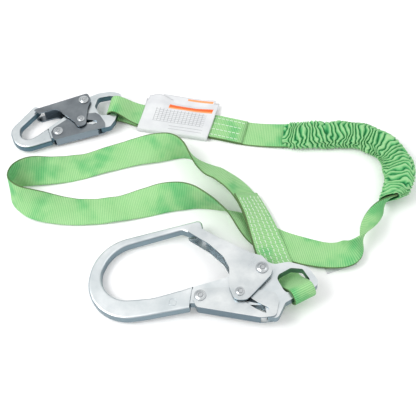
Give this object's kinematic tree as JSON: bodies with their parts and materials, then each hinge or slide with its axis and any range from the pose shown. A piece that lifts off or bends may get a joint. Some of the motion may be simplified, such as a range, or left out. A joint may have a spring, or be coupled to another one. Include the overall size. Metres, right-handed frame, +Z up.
{
  "type": "shock absorbing lanyard",
  "caption": "Fall-arrest lanyard: a flat webbing leg and a gathered shock-pack jacket between a large rebar hook and a small snap hook, with sprung gates, lock levers and blank labels",
  "frame": {"origin": "on the floor under the middle of the box round the hooks and the shock pack", "axes": "+X from the snap hook towards the shock pack, +Y from the rebar hook towards the snap hook, +Z up"},
  "size_m": [0.4468, 0.2924, 0.0341],
  "materials": {
    "forged_plated_steel": "zinc plated forging, satin",
    "forged_steel_bright": "plated forging, satin",
    "pressed_plated_steel": "zinc plated pressed sheet, smooth",
    "pressed_grey_steel": "plated pressed sheet, darker satin",
    "rivet_steel": "smooth rivet heads",
    "spring_wire": "dark drawn wire",
    "green_webbing": "woven polyester webbing, bright light green",
    "black_liner": "woven wear liner, black",
    "white_thread": "sewing thread",
    "core_webbing": "folded inner webbing",
    "white_label": "coated label sheet"
  },
  "bodies": {
    "webbing": {"leg_webbing": "green_webbing", "short_webbing": "green_webbing", "wear_liner": "black_liner", "rebar_loop_stitching": "white_thread", "snap_loop_stitching": "white_thread", "shock_core": "core_webbing", "shock_jacket": "green_webbing", "label_wrap": "white_label", "label_leaf": "white_label", "sewn_tag": "white_label"},
    "rebar_hook": {"rebar_hook_body": "forged_plated_steel", "rebar_gate_spring": "spring_wire", "rebar_lock_spring": "spring_wire"},
    "rebar_gate": {"rebar_hook_gate": "pressed_plated_steel", "rebar_gate_slot_pin": "rivet_steel", "rebar_gate_pivot_rivet": "rivet_steel"},
    "rebar_lever": {"rebar_lock_lever": "pressed_plated_steel", "rebar_lock_pivot_rivet": "rivet_steel"},
    "snap_hook": {"snap_hook_body": "forged_steel_bright", "snap_gate_spring": "spring_wire", "snap_lock_spring": "spring_wire"},
    "snap_gate": {"snap_hook_gate": "pressed_grey_steel", "snap_gate_slot_pin": "rivet_steel", "snap_gate_pivot_rivet": "rivet_steel"},
    "snap_lever": {"snap_lock_lever": "pressed_grey_steel", "snap_lock_pivot_rivet": "rivet_steel"}
  },
  "joints": [
    {"name": "rebar_hook_swing", "type": "hinge", "parent": "webbing", "child": "rebar_hook", "pos_m": [0.08757, -0.11572, 0.02032], "axis": [0.8777, 0.4759, 0.0564], "range_deg": [0, 100]},
    {"name": "snap_hook_swing", "type": "hinge", "parent": "webbing", "child": "snap_hook", "pos_m": [-0.10787, 0.12325, 0.01175], "axis": [0.1649, 0.9862, 0.017], "range_deg": [0, 100]},
    {"name": "rebar_gate_open", "type": "hinge", "parent": "rebar_hook", "child": "rebar_gate", "pos_m": [0.05065, -0.09223, 0.01755], "axis": [-0.0691, 0.0092, 0.9976], "range_deg": [0, 48], "stiffness_Nm_per_rad": 0.12, "springref_deg": -22.92},
    {"name": "rebar_lever_press", "type": "hinge", "parent": "rebar_hook", "child": "rebar_lever", "pos_m": [-0.0105, -0.11908, 0.01356], "axis": [-0.0691, 0.0092, 0.9976], "range_deg": [0, 9.6], "deforming": ["rebar_lock_spring"]},
    {"name": "snap_gate_open", "type": "hinge", "parent": "snap_hook", "child": "snap_gate", "pos_m": [-0.14447, 0.12954, 0.01066], "axis": [-0.0319, -0.0119, 0.9994], "range_deg": [0, 28], "stiffness_Nm_per_rad": 0.06, "springref_deg": -22.92},
    {"name": "snap_lever_press", "type": "hinge", "parent": "snap_hook", "child": "snap_lever", "pos_m": [-0.17013, 0.08771, 0.00934], "axis": [-0.0319, -0.0119, 0.9994], "range_deg": [0, 8.29], "deforming": ["snap_lock_spring"]}
  ],
  "couplings": [
    {"joint": "rebar_lever_press", "follows": "rebar_gate_open", "ratio": 0.2},
    {"joint": "snap_lever_press", "follows": "snap_gate_open", "ratio": 0.296}
  ]
}
